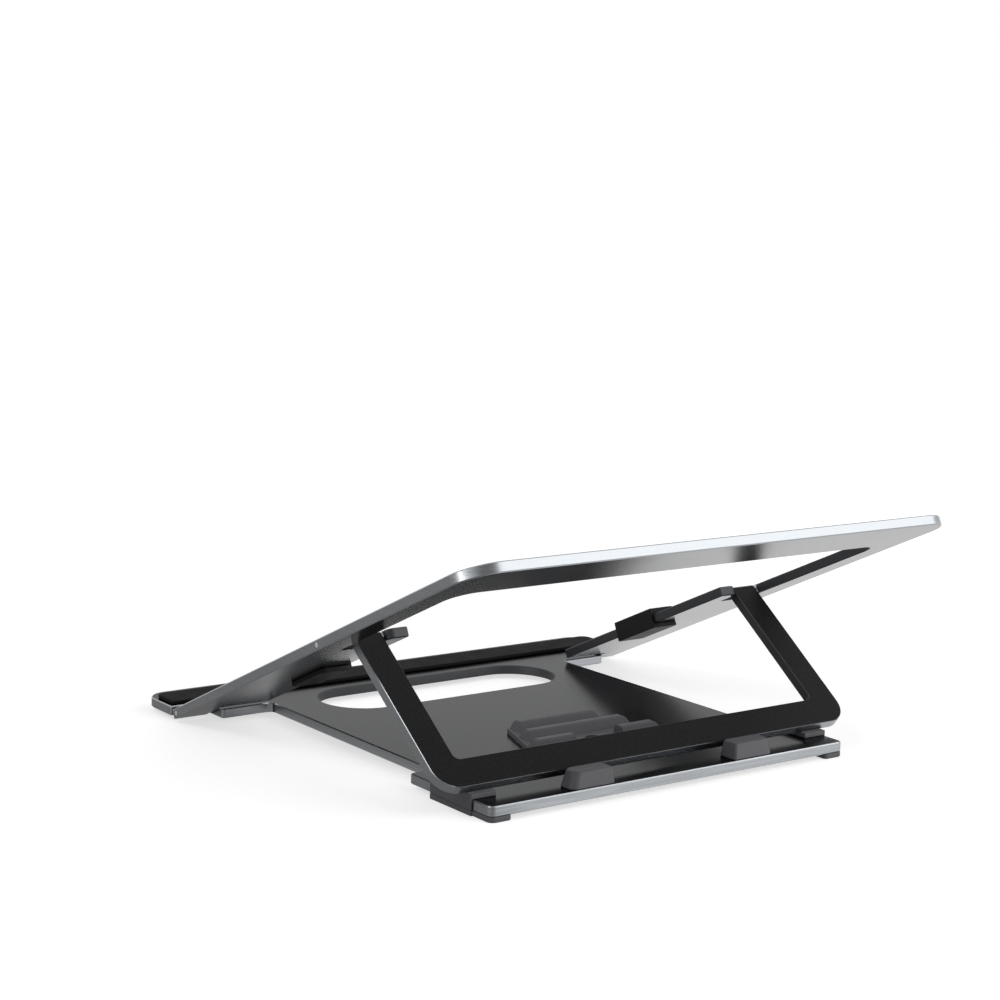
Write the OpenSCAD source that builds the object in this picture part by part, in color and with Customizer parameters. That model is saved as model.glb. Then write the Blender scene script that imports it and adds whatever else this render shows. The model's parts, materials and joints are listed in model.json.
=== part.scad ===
// Folding laptop stand: three flat plates joined by pins that lie inside the plates' own thickness.
// Y = 0 of the working frame is the front hinge axis and Z = 0 is the underside of the base plate.
// The finished part stands on Z = 0, centred on X and Y.

/* [Plates] */
// Thickness of all three plates
plate_t = 4; // [3:0.5:6]
// Overall width of the tray and of the base's front bar
stand_w = 230; // [215:1:260]
// Slope of the tray above the desk, in degrees
tray_tilt = 24.5; // [22:0.5:27]
// Gap between nested plates, and between a plate and the rubber beside it
nest_gap = 1.4; // [1:0.1:2]

/* [Base plate] */
// Front-to-back size of the front bar
front_bar_d = 24; // [20:0.5:26]
// Corner radius at the front of the front bar
front_bar_r = 9; // [3:0.5:10]
// Gap from the hinge axis to the rear edge of the front bar
front_bar_gap = 4.1; // [3.8:0.1:8]
// Corner radius of the base plate's rear end
base_rear_r = 2.5; // [1.5:0.5:6]
// Length of the wide rear end of the base plate
base_rear_d = 51; // [45:1:52]
// Length of the hand slot
hand_slot_w = 115.5; // [80:0.5:124]
// Width of the hand slot
hand_slot_d = 37.5; // [25:0.5:40]
// Distance from the hinge axis to the middle of the hand slot
hand_slot_y = 22.3; // [22:0.5:30]
// Radius of the inner corner between wing and centre
wing_fillet_r = 2.5; // [1:0.5:4]

/* [Tray frame] */
// Distance from the hinge axis to the tray's rear edge
tray_reach = 225.5; // [220:0.5:250]
// Width of the rear bar
rear_bar_d = 30.5; // [20:0.5:31]
// Width of each front arm
front_arm_w = 37.4; // [34:0.2:40]
// Width of each rear arm
rear_arm_w = 13.5; // [10:0.5:14]
// Width of the inner lug that holds the prop pin
lug_w = 8.9; // [7:0.1:9.5]
// How far the lug reaches past the prop pin
lug_reach = 5; // [4:0.5:6]
// How far the prop slot reaches ahead of the prop pin
slot_reach = 6.5; // [4:0.5:8]
// Outer corner radius of the tray
tray_r = 14; // [8:0.5:16]
// Inner corner radius at the tray's rear bar
tray_inner_r = 9; // [3:0.5:10]
// How far the arm end reaches ahead of the front pin
arm_end = 2.5; // [2:0.1:2.8]
// Distance from the hinge axis to the step where the arm becomes wide
arm_step = 11.5; // [10:0.5:16]

/* [Prop frame] */
// Distance from the front hinge axis to the prop pin
prop_pin_u = 119.5; // [117:0.5:121]
// Length from the prop pin to the foot's end
prop_len = 73.5; // [72.5:0.5:74]
// Width of the prop's arms and cross bar
prop_bar_w = 12.1; // [10:0.1:12.5]
// Gap between the prop's arm and the tray's rear arm
prop_side_gap = 2; // [1.5:0.1:2.5]
// Outer corner radius of the prop
prop_r = 9.5; // [4:0.5:11]

/* [Pins] */
// Diameter of the hinge pins
pin_d = 2.2; // [1.6:0.1:2.4]
// How deep each pin sits in its blind hole
pin_seat = 6; // [4:0.5:7]
// Radial clearance of a pin in its hole
pin_clear = 0.05; // [0.02:0.01:0.1]
// Gap between the arm end and the base wing, filled by a washer
hinge_gap = 0.8; // [0.6:0.1:1.2]
// Clearance on each face of a washer
washer_clear = 0.1; // [0.05:0.05:0.15]
// Diameter of the washers
washer_d = 3.6; // [3:0.1:3.8]

/* [Rubber on the base] */
// Height of the feet
foot_h = 2.1; // [1.5:0.1:4]
// Width of a foot
foot_w = 9.5; // [6:0.5:12]
// Corner radius of a rear foot's inner side
foot_r = 1.5; // [0.5:0.5:2.5]
// Thickness of the bumper's top pad, which the prop's foot stands on
bumper_t = 2; // [1.5:0.1:2.5]
// How far a bumper stands out from the base plate's side
bumper_proud = 0.8; // [0.5:0.1:1]
// Width of the bumper's top pad
bumper_w = 11.2; // [8:0.1:14]
// Length of a bumper
bumper_len = 26; // [16:0.5:30]
// Distance from a bumper's rear end to the base plate's rear edge
bumper_back = 11; // [7:0.5:12]
// Height of the stop blocks above the base plate
stop_h = 6.5; // [5:0.5:8]
// Width of a stop block at its foot
stop_w = 20; // [16:0.5:30]
// Distance between the stop blocks
stop_space = 58.5; // [30:0.5:80]
// Distance from a stop block's rear foot to the base plate's rear edge
stop_back = 0.6; // [0.4:0.1:1.5]
// Inward lean of a stop block's outer end over its height; its other sides lean half as much
stop_lean = 2; // [0.5:0.5:3]
// Radius of a stop block's upright corners at its outer end
stop_r = 3; // [1:0.5:4]
// Clearance between the prop's foot and the rubber that it rests on
rest_gap = 0.3; // [0.2:0.05:0.5]
// Distance from each end of the front rubber pad to the end of the front bar
front_pad_inset = 1.5; // [0.5:0.1:10]
// Front-to-back size of the front rubber pad
front_pad_d = 16; // [10:0.5:18]
// Distance from the front rubber pad to the rear edge of the front bar
front_pad_back = 1; // [0.8:0.1:3]
// Radius of the front rubber pad's front corners
front_pad_r = 4; // [2:0.5:6]
// Thickness of the front rubber pad
front_pad_t = 1.6; // [1:0.1:2.5]

/* [Angle rack] */
// Distance from the hinge axis to the first ridge
rack_y = 103.5; // [85:0.5:104]
// Distance between ridges
rack_pitch = 13; // [12:0.5:13]
// Height of the ridges above the base plate
ridge_h = 5.3; // [4:0.1:7]
// Radius of a ridge's rounded top
ridge_r = 1.8; // [1:0.1:2]
// Length of the first ridge
ridge_w = 42.5; // [24:0.5:50]
// Growth in length from each ridge to the next
ridge_grow = 10.5; // [0:0.5:14]
// Length of the gap in the last ridge
ridge_split = 23; // [0:0.5:26]
// Slant of a ridge's ends over its height
ridge_slant = 3; // [0.5:0.5:4]
// Thickness of the rack's floor
rack_floor = 1.8; // [1:0.1:2.4]
// Diameter of the hole in the rack's floor
rack_hole_d = 8; // [4:0.5:9]

/* [Rubber on the tray] */
// Distance from the hinge axis to the front end of a clip
clip_u = 52.5; // [20:0.5:60]
// Length of a clip
clip_len = 26; // [20:0.5:36]
// Thickness of the clip's wall beside the arm
clip_wall = 1.2; // [0.8:0.1:1.2]
// Thickness of the clip's upper prong, which the laptop rests on
clip_top_t = 2.6; // [1.5:0.1:3]
// Thickness of the clip's lower prong
clip_t = 2; // [1:0.1:2.2]
// How far the clip's prongs reach over the arm
clip_reach = 12.6; // [6:0.2:14]
// Thickness of the rear pads
rear_pad_t = 0.6; // [0.4:0.1:1]
// Length of the rear pads
rear_pad_w = 60; // [30:1:80]
// Width of the rear pads
rear_pad_d = 12; // [6:0.5:16]

/* [Hidden] */
$fn = 64;
LEFT = -1;
RIGHT = 1;
eps = 0.01;
half_t = plate_t / 2;

// Half widths, from the tray's outer edge inwards
edge_x = stand_w / 2;
arm_in_x = edge_x - front_arm_w;
rear_in_x = edge_x - rear_arm_w;
prop_out_x = rear_in_x - prop_side_gap;
prop_in_x = prop_out_x - prop_bar_w;
lug_out_x = arm_in_x + lug_w;
base_mid_x = arm_in_x - nest_gap;
base_rear_x = prop_in_x - nest_gap;
arm_end_x = rear_in_x - nest_gap;
wing_x = arm_end_x - hinge_gap;

// Lengths along the base plate, from the front hinge axis
front_y = -front_bar_gap - front_bar_d;
wing_y = arm_step - nest_gap / 2;
base_rear_y = prop_pin_u + prop_len - prop_bar_w - nest_gap;
base_step_y = base_rear_y - base_rear_d;

// The prop's lean, found from the height of its pin and the rubber pad under its foot
pin_y = prop_pin_u * cos(tray_tilt);
pin_z = half_t + prop_pin_u * sin(tray_tilt);
rest_z = plate_t + bumper_t + rest_gap;
foot_radius = sqrt(prop_len * prop_len + half_t * half_t);
prop_lean = asin((pin_z - rest_z) / foot_radius) - atan(half_t / prop_len);

// The finished part's middle
tray_rear_y = tray_reach * cos(tray_tilt) + half_t * sin(tray_tilt);
middle_y = (front_y + tray_rear_y) / 2;

pin_r = pin_d / 2;
hole_r = pin_r + pin_clear;

// Y of the arc that the prop's foot swings through at height z, with the rest gap added twice
function foot_sweep_y(z) = pin_y + sqrt(pow(foot_radius + 2 * rest_gap, 2) - pow(pin_z - z, 2));

// Tangent point on a circle of radius r at [0, h], seen from the point [d, 0]
function tangent_angle(d, h, r) = atan2(h, -d) - asin(r / sqrt(d * d + h * h));
function tangent_point(d, h, r) = let (
    a = tangent_angle(d, h, r),
    t = sqrt(d * d + h * h - r * r)
) [d + t * cos(a), t * sin(a)];

// Puts the working frame on the desk, centred
module place() {
    translate([0, -middle_y, foot_h]) children();
}

// Frame of the tray plate: Y along the tray from the hinge axis, Z = 0 at mid thickness
module in_tray() {
    place() translate([0, 0, half_t]) rotate([tray_tilt, 0, 0]) children();
}

// Frame of the prop plate: Y along the prop from its pin, Z = 0 at mid thickness
module in_prop() {
    place() translate([0, pin_y, pin_z]) rotate([-prop_lean, 0, 0]) children();
}

// Draws its child on the given side of the stand
module on_side(side) {
    mirror([side == LEFT ? 1 : 0, 0, 0]) children();
}

// Flat rectangle, symmetric about X = 0, from y0 to y1, with its own front and rear corner radii
module band(half_w, y0, y1, r_front = 0, r_rear = 0) {
    difference() {
        translate([-half_w, y0]) square([2 * half_w, y1 - y0]);
        for (s = [-1, 1]) {
            if (r_front > 0) corner_cut(s * half_w, y0, r_front, s, -1);
            if (r_rear > 0) corner_cut(s * half_w, y1, r_rear, s, 1);
        }
    }
}

// The sliver outside a rounded corner at [x, y] that points towards [sx, sy]
module corner_cut(x, y, r, sx, sy) {
    translate([x, y]) scale_free_mirror(sx, sy) difference() {
        translate([-r, -r]) square(r + 1);
        translate([-r, -r]) circle(r);
        translate([-r - eps, -r - eps]) square([eps, r + 1]);
    }
}

module scale_free_mirror(sx, sy) {
    mirror([sx < 0 ? 1 : 0, 0]) mirror([0, sy < 0 ? 1 : 0]) children();
}

// Material that fills an inner corner at [x, y]; sx and sy point into the open quarter
module inner_fillet(x, y, r, sx, sy) {
    translate([x, y]) scale_free_mirror(sx, sy) difference() {
        translate([-eps, -eps]) square(r + eps);
        translate([r, r]) circle(r);
    }
}

// Plate of the common thickness from a flat outline, lying on Z = 0
module plate() {
    linear_extrude(plate_t) children();
}

// Cylinder along X from x0 to x1
module x_rod(r, x0, x1) {
    translate([x0, 0, 0]) rotate([0, 90, 0]) cylinder(r = r, h = x1 - x0);
}

module hand_slot() {
    r = hand_slot_d / 2;
    for (s = [-1, 1]) translate([s * (hand_slot_w / 2 - r), hand_slot_y]) circle(r);
    translate([-(hand_slot_w / 2 - r), hand_slot_y - r]) square([hand_slot_w - 2 * r, 2 * r]);
}

module base_outline() {
    difference() {
        union() {
            band(edge_x, front_y, -front_bar_gap, front_bar_r, 1);
            band(wing_x, -front_bar_gap - 1, wing_y, 0, 1.5);
            band(base_mid_x, 0, base_rear_y);
            band(base_rear_x, base_step_y, base_rear_y, 1, base_rear_r);
            for (s = [-1, 1]) inner_fillet(s * base_mid_x, wing_y, wing_fillet_r, s, 1);
        }
        hand_slot();
    }
}

module base_plate() {
    color("#4a4c4e") place() difference() {
        plate() base_outline();
        for (side = [LEFT, RIGHT]) on_side(side)
            translate([0, 0, half_t]) x_rod(hole_r, wing_x - pin_seat - pin_clear, wing_x + 1);
    }
}

// Long pad with rounded front corners
module front_rubber_pad() {
    rear_y = -front_bar_gap - front_pad_back;
    color("#232325") place() translate([0, 0, plate_t]) linear_extrude(front_pad_t)
        band(edge_x - front_pad_inset, rear_y - front_pad_d, rear_y, front_pad_r, 1);
}

// Cross-section of one ridge, centred on its top, with a steep front and a long rear slope
module ridge_profile() {
    h = ridge_h - ridge_r;
    front = tangent_point(ridge_r + 1, h, ridge_r);
    rear = tangent_point(ridge_r + 4, h, ridge_r);
    translate([0, h]) circle(ridge_r);
    polygon([[-ridge_r - 1, 0], [-front[0], front[1]], [0, h], rear, [ridge_r + 4, 0]]);
}

// One ridge with slanted ends; the last one is split in two
module ridge(i) {
    w = ridge_w + i * ridge_grow;
    last = i == 2;
    translate([0, rack_y + i * rack_pitch, 0]) difference() {
        intersection() {
            translate([-w / 2, 0, 0]) rotate([90, 0, 90]) linear_extrude(w) ridge_profile();
            translate([0, rack_pitch, 0]) rotate([90, 0, 0]) linear_extrude(2 * rack_pitch)
                polygon([
                    [-w / 2, 0], [w / 2, 0],
                    [w / 2 - ridge_slant, ridge_h], [ridge_slant - w / 2, ridge_h],
                ]);
        }
        if (last && ridge_split > 0)
            translate([-ridge_split / 2, -rack_pitch / 2, rack_floor])
                cube([ridge_split, rack_pitch, ridge_h]);
    }
}

module angle_rack() {
    front = rack_y - ridge_r - 1;
    rear = rack_y + 2 * rack_pitch + ridge_r + 4;
    w0 = ridge_w;
    w1 = ridge_w + 2 * ridge_grow;
    color("#4c4a4e") place() translate([0, 0, plate_t]) difference() {
        union() {
            for (i = [0:2]) ridge(i);
            linear_extrude(rack_floor)
                polygon([[-w0 / 2, front], [w0 / 2, front], [w1 / 2, rear - 4], [w1 / 2, rear],
                         [-w1 / 2, rear], [-w1 / 2, rear - 4]]);
        }
        translate([0, rack_y + 2 * rack_pitch, -1]) cylinder(d = rack_hole_d, h = ridge_h + 2);
    }
}

// Rubber block that stands just behind the swing of the prop's foot
module stop_block(side) {
    rear = base_rear_y - stop_back;
    inner = stop_space / 2;
    outer = inner + stop_w;
    top_front = foot_sweep_y(plate_t + stop_h);
    front = top_front - stop_lean / 2;
    color("#4c4a4e") place() on_side(side) translate([0, 0, plate_t]) intersection() {
        translate([0, base_rear_y, 0]) rotate([90, 0, 0]) linear_extrude(base_rear_d)
            polygon([
                [inner, 0], [outer, 0], [outer - stop_lean, stop_h], [inner + stop_lean / 2, stop_h],
            ]);
        rotate([90, 0, 90]) linear_extrude(outer + 1)
            polygon([[front, 0], [rear, 0], [rear - stop_lean / 2, stop_h], [top_front, stop_h]]);
        linear_extrude(stop_h) difference() {
            translate([inner, front]) square([stop_w, rear - front]);
            corner_cut(outer, front, stop_r, 1, -1);
            corner_cut(outer, rear, stop_r, 1, 1);
        }
    }
}

// Rubber clip on the base plate's corner: a pad on top and a wall down the side
module corner_bumper(side) {
    outer = base_rear_x + bumper_proud;
    y1 = base_rear_y - bumper_back;
    color("#5a585c") place() on_side(side) translate([0, y1, 0]) rotate([90, 0, 0])
        linear_extrude(bumper_len)
            polygon([
                [outer - bumper_w, plate_t], [base_rear_x, plate_t], [base_rear_x, 0],
                [outer, 0], [outer, plate_t + bumper_t], [outer - bumper_w, plate_t + bumper_t],
            ]);
}

// Long foot under the base plate's rear corner, wider where the bumper stands on it
module rear_foot(side) {
    y0 = base_rear_y - bumper_back - bumper_len;
    inner = base_rear_x - foot_w;
    color("#5a585c") place() on_side(side) translate([0, 0, -foot_h]) linear_extrude(foot_h) {
        difference() {
            translate([inner, y0]) square([foot_w, base_rear_y - y0]);
            corner_cut(base_rear_x, base_rear_y, base_rear_r, 1, 1);
            corner_cut(inner, base_rear_y, foot_r, -1, 1);
            corner_cut(inner, y0, foot_r, -1, -1);
        }
        difference() {
            translate([base_rear_x - eps, y0]) square([bumper_proud + eps, bumper_len]);
            corner_cut(base_rear_x + bumper_proud, y0, bumper_proud / 2, 1, -1);
        }
    }
}

module front_foot(side) {
    r = foot_w / 2;
    y = front_y + front_bar_d / 2;
    color("#2a2a2c") place() on_side(side) translate([edge_x - 3 * front_bar_d, y, -foot_h])
        linear_extrude(foot_h) {
            translate([-front_bar_d, -r]) square([2 * front_bar_d, 2 * r]);
            for (s = [-1, 1]) translate([s * front_bar_d, 0]) circle(r);
        }
}

module front_hinge_pin(side) {
    color("#d8dadc") place() on_side(side) translate([0, 0, half_t]) x_rod(pin_r, wing_x - pin_seat, edge_x);
}

// Washer on a pin along X, filling a gap from x0 to x1 with its face clearances
module washer(x0, x1) {
    difference() {
        x_rod(washer_d / 2, x0 + washer_clear, x1 - washer_clear);
        x_rod(hole_r, x0 - 1, x1 + 1);
    }
}

module front_hinge_washer(side) {
    color("#b8babc") place() on_side(side) translate([0, 0, half_t]) washer(wing_x, arm_end_x);
}

module tray_outline() {
    slot_y = prop_pin_u - slot_reach;
    lug_y = prop_pin_u + lug_reach;
    difference() {
        band(edge_x, -arm_end, tray_reach, 0, tray_r);
        translate([-arm_in_x, -arm_end - 1]) square([2 * arm_in_x, lug_y + arm_end + 2]);
        translate([-arm_end_x, -arm_end - 1]) square([2 * arm_end_x, arm_step + arm_end + 1]);
        band(rear_in_x, lug_y, tray_reach - rear_bar_d, 0, tray_inner_r);
        for (s = [-1, 1]) mirror([s < 0 ? 1 : 0, 0])
            translate([lug_out_x, slot_y]) square([rear_in_x - lug_out_x, lug_y - slot_y + 1]);
    }
}

module tray_frame() {
    color("#55585a") in_tray() difference() {
        translate([0, 0, -half_t]) plate() tray_outline();
        for (side = [LEFT, RIGHT]) on_side(side) {
            x_rod(hole_r, arm_end_x - 1, edge_x + 1);
            translate([0, prop_pin_u, 0]) x_rod(hole_r, lug_out_x - pin_seat - pin_clear, edge_x + 1);
        }
    }
}

// U-shaped rubber clip round the inner edge of a front arm
module tray_clip(side) {
    wall_x = arm_in_x - clip_wall;
    color("#2c2b30") in_tray() on_side(side) translate([0, clip_u + clip_len, 0]) rotate([90, 0, 0])
        linear_extrude(clip_len) difference() {
            translate([wall_x, -half_t - clip_t])
                square([clip_wall + clip_reach, clip_t + plate_t + clip_top_t]);
            translate([arm_in_x, -half_t]) square([clip_reach + 1, plate_t]);
        }
}

module tray_rear_pad(side) {
    x = rear_in_x - rear_pad_w / 2 - nest_gap;
    y = tray_reach - rear_bar_d / 2;
    r = rear_pad_d / 2;
    color("#2c2b30") in_tray() on_side(side) translate([x, y, half_t]) linear_extrude(rear_pad_t) {
        translate([-rear_pad_w / 2 + r, -r]) square([rear_pad_w - 2 * r, 2 * r]);
        for (s = [-1, 1]) translate([s * (rear_pad_w / 2 - r), 0]) circle(r);
    }
}

module prop_hinge_pin(side) {
    color("#d8dadc") in_tray() on_side(side) translate([0, prop_pin_u, 0])
        x_rod(pin_r, lug_out_x - pin_seat, edge_x);
}

module prop_hinge_washers(side) {
    color("#b8babc") in_tray() on_side(side) translate([0, prop_pin_u, 0]) {
        washer(lug_out_x, prop_in_x);
        washer(prop_out_x, rear_in_x);
    }
}

module prop_outline() {
    difference() {
        band(prop_out_x, 0, prop_len, 0, prop_r);
        band(prop_in_x, -1, prop_len - prop_bar_w, 0, 1);
    }
}

module prop_frame() {
    color("#262628") in_prop() difference() {
        union() {
            translate([0, 0, -half_t]) plate() prop_outline();
            for (side = [LEFT, RIGHT]) on_side(side) x_rod(half_t, prop_in_x, prop_out_x);
        }
        for (side = [LEFT, RIGHT]) on_side(side) x_rod(hole_r, prop_in_x - 1, prop_out_x + 1);
    }
}

base_plate();
front_rubber_pad();
angle_rack();
stop_block(LEFT);  // stop_block_left
stop_block(RIGHT);  // stop_block_right
corner_bumper(LEFT);  // corner_bumper_left
corner_bumper(RIGHT);  // corner_bumper_right
rear_foot(LEFT);  // rear_foot_left
rear_foot(RIGHT);  // rear_foot_right
front_foot(LEFT);  // front_foot_left
front_foot(RIGHT);  // front_foot_right
front_hinge_pin(LEFT);  // front_hinge_pin_left
front_hinge_pin(RIGHT);  // front_hinge_pin_right
front_hinge_washer(LEFT);  // front_hinge_washer_left
front_hinge_washer(RIGHT);  // front_hinge_washer_right
tray_frame();
tray_clip(LEFT);  // tray_clip_left
tray_clip(RIGHT);  // tray_clip_right
tray_rear_pad(LEFT);  // tray_rear_pad_left
tray_rear_pad(RIGHT);  // tray_rear_pad_right
prop_hinge_pin(LEFT);  // prop_hinge_pin_left
prop_hinge_pin(RIGHT);  // prop_hinge_pin_right
prop_hinge_washers(LEFT);  // prop_hinge_washers_left
prop_hinge_washers(RIGHT);  // prop_hinge_washers_right
prop_frame();
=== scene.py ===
import json
import math

import bpy
from mathutils import Matrix, Vector


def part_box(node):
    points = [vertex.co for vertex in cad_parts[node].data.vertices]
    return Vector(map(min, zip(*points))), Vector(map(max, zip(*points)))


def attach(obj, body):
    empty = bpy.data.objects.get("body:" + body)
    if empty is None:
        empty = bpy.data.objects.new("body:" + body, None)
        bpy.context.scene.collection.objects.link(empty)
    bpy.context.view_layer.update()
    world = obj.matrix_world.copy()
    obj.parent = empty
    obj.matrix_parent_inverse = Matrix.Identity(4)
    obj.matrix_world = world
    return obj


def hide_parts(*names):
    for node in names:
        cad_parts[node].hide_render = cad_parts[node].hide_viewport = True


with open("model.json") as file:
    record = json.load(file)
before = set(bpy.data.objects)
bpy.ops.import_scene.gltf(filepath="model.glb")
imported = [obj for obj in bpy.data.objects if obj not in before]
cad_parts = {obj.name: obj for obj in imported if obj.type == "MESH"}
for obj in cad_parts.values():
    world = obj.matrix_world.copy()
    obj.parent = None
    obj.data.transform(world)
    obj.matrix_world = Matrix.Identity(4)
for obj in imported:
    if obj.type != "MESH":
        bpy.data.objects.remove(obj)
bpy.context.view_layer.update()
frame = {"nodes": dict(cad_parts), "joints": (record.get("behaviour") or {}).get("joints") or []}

bl_info = {
    "name": "Folding laptop stand",
    "version": (1, 0, 0),
    "blender": (4, 5, 0),
    "location": "View3D > Sidebar > Stand",
    "description": "Models the plates, rubber and pins of a folding laptop stand round its frame",
    "category": "Add Mesh",
}

MM = 0.001
SIDES = {"left": -1, "right": 1}
# How far a cutting block reaches past what it cuts.
OVER = 1 * MM
# Points this close together count as one place.
NEAR = 0.02 * MM
# A full round stops this short, so that its two ends don't meet.
HAIR = 0.01 * MM

# The three working frames: X to the side, Y along the plate from its pin, Z out of the plate's top.
JOINTS = {joint["name"]: joint for joint in frame["joints"]}
TRAY_PIN = Vector(JOINTS["tray_hinge"]["pos_m"])
PROP_PIN = Vector(JOINTS["prop_hinge"]["pos_m"])
TILT = math.atan2(PROP_PIN.z - TRAY_PIN.z, PROP_PIN.y - TRAY_PIN.y)
LEAN = math.radians(JOINTS["prop_hinge"]["range_deg"][1]) - TILT
BASE_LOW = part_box("base_plate")[0]
ON_BASE = Matrix.Translation((0, TRAY_PIN.y, BASE_LOW.z))
ON_TRAY = Matrix.Translation(TRAY_PIN) @ Matrix.Rotation(TILT, 4, "X")
ON_PROP = Matrix.Translation(PROP_PIN) @ Matrix.Rotation(-LEAN, 4, "X")


def local_box(node, place):
    """Lowest and highest corner of a CAD node in one of the working frames."""
    back = place.inverted()
    corners = [back @ vertex.co for vertex in frame["nodes"][node].data.vertices]
    low = Vector(min(c[i] for c in corners) for i in range(3))
    high = Vector(max(c[i] for c in corners) for i in range(3))
    return low, high


def linear(hex_code):
    """Linear red, green and blue of an sRGB hex colour."""
    parts = [int(hex_code[i:i + 2], 16) / 255 for i in (0, 2, 4)]
    return [p / 12.92 if p <= 0.04045 else ((p + 0.055) / 1.055) ** 2.4 for p in parts]


# ---------------------------------------------------------------- sizes and colours

def length(name, description, default):
    """A length in metres that the sidebar shows in scene units."""
    return bpy.props.FloatProperty(
        name=name, description=description, default=default, min=0, unit="LENGTH", precision=5)


def colour(name, description, hex_code):
    """A colour that the sidebar shows as a swatch."""
    return bpy.props.FloatVectorProperty(
        name=name, description=description, default=linear(hex_code), subtype="COLOR",
        size=3, min=0, max=1)


class StandSizes(bpy.types.PropertyGroup):
    """Sizes of the stand that the frame's boxes don't give"""

    chamfer: length("Chamfer", "Chamfer along the rims of the base and the tray", 0.4 * MM)
    prop_chamfer: length("Prop chamfer", "Chamfer along the rims of the prop", 0.7 * MM)
    front_bar: length("Front bar", "Front-to-back size of the base's front bar", 24 * MM)
    bar_radius: length("Front bar radius", "Front corner radius of the front bar", 9 * MM)
    rear_radius: length("Base rear radius", "Corner radius of the base's rear end", 2.5 * MM)
    wing_radius: length("Wing radius", "Corner radius of the base's wings", 1.5 * MM)
    inner_radius: length("Inner radius", "Radius in the inner corners of the base and the prop", 2.5 * MM)
    small_radius: length("Small radius", "Radius of the corners that are only broken", 1 * MM)
    base_rear_depth: length("Base rear end", "Length of the base's wide rear end", 51 * MM)
    slot_width: length("Hand slot width", "Length of the hand slot", 115.5 * MM)
    slot_depth: length("Hand slot depth", "Width of the hand slot", 37.5 * MM)
    slot_centre: length("Hand slot place", "From the hinge axis to the slot's middle", 22.3 * MM)
    arm_front: length("Front arm", "Width of the tray's front arms", 37.4 * MM)
    arm_rear: length("Rear arm", "Width of the tray's rear arms", 13.5 * MM)
    rear_bar: length("Rear bar", "Width of the tray's rear bar", 30.5 * MM)
    lug: length("Lug", "Width of the lug beside the prop's slot", 8.9 * MM)
    lug_reach: length("Lug reach", "How far the lug reaches past the prop pin", 5 * MM)
    lug_radius: length("Lug radius", "Corner radius of the lug's end", 3 * MM)
    slot_reach: length("Prop slot reach", "How far the slot reaches ahead of the prop pin", 6.5 * MM)
    arm_step: length("Arm step", "From the hinge axis to where the arm becomes wide", 11.5 * MM)
    tray_radius: length("Tray radius", "Outer corner radius of the tray", 14 * MM)
    window_radius: length("Window radius", "Inner corner radius at the tray's rear bar", 9 * MM)
    prop_bar: length("Prop bar", "Width of the prop's arms and cross bar", 12.1 * MM)
    prop_radius: length("Prop radius", "Outer corner radius of the prop", 9.5 * MM)
    pad_radius: length("Pad radius", "Front corner radius of the front pad", 4 * MM)
    pad_round: length("Pad rounding", "Rounding of the front pad's edges", 0.6 * MM)
    rack_pitch: length("Rack pitch", "Distance between the rack's ridges", 13 * MM)
    rack_front: length("Rack front", "Length of the rack's first ridge", 42.5 * MM)
    rack_floor: length("Rack floor", "Thickness of the rack's floor", 1.8 * MM)
    rack_gap: length("Rack gap", "Length of the gap in the rack's last ridge", 23 * MM)
    rack_hole: length("Rack hole", "Diameter of the hole in the rack", 8 * MM)
    rack_round: length("Rack rounding", "Rounding of the rack's edges", 0.3 * MM)
    crest_round: length("Crest rounding", "Rounding of the ridges' crests", 1.2 * MM)
    stop_round: length("Stop rounding", "Rounding of the stop blocks' edges", 0.7 * MM)
    rubber_round: length("Rubber rounding", "Rounding of the bumpers, the feet and the clips", 0.4 * MM)
    strip_round: length("Strip rounding", "Rounding of the rear pads' edges", 0.2 * MM)
    foot_width: length("Foot width", "Width of a rear foot", 9.5 * MM)
    foot_radius: length("Foot radius", "Corner radius of a rear foot's inner side", 1.5 * MM)
    clip_radius: length("Clip radius", "Corner radius of the tray clips' prongs", 2 * MM)
    nest_gap: length("Nest gap", "Gap between the plates when folded", 1.4 * MM)
    bore_radius: length("Bore radius", "Radius of the bores for the pins", 1.2 * MM)
    pin_seat: length("Pin seat", "How deep a prop pin sits in its lug", 6 * MM)
    pin_chamfer: length("Pin chamfer", "Chamfer on the pins' ends", 0.2 * MM)
    hinge_gap: length("Hinge gap", "Gap between the arm end and the base's wing", 0.8 * MM)


class StandColours(bpy.types.PropertyGroup):
    """Colours of the stand's finishes"""

    base_plate: colour("Base plate", "Anodised faces of the base plate", "4C4D4E")
    tray: colour("Tray", "Anodised faces of the tray", "5C5D60")
    edge: colour("Plate edges", "Polished outer edges of the plates", "9A9DA0")
    # Painted shade: the edges of the openings are darker than the outer edges.
    inner_edge: colour("Inner edges", "Dyed edges of the plates' openings", "404143")
    prop: colour("Prop", "Textured coat of the prop frame", "111112")
    steel: colour("Steel", "Hinge pins", "D9DBDC")
    washer: colour("Washers", "Friction washers", "A9ABAD")
    base_rubber: colour("Base rubber", "Rubber on the base plate", "4E4E52")
    clip_rubber: colour("Clip rubber", "Rubber on the tray", "141416")
    # The front rubber is black, and its colour is darkened further as painted shade.
    front_rubber: colour("Front rubber", "Rubber strip on the front bar", "151516")


# ---------------------------------------------------------------- modelling helpers

def clear_selection():
    """Leaves edit mode and deselects every object."""
    if bpy.context.object and bpy.context.object.mode != "OBJECT":
        bpy.ops.object.mode_set(mode="OBJECT")
    bpy.ops.object.select_all(action="DESELECT")


def make_active(piece):
    """Selects one piece and nothing else."""
    clear_selection()
    piece.select_set(True)
    bpy.context.view_layer.objects.active = piece


def block(name, low, high):
    """A cube primitive at its size and place."""
    low, high = Vector(low), Vector(high)
    clear_selection()
    bpy.ops.mesh.primitive_cube_add(size=1, location=(low + high) / 2)
    bpy.ops.transform.resize(value=high - low)
    bpy.ops.object.transform_apply(location=True, rotation=True, scale=True)
    piece = bpy.context.object
    piece.name = piece.data.name = name
    return piece


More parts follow.
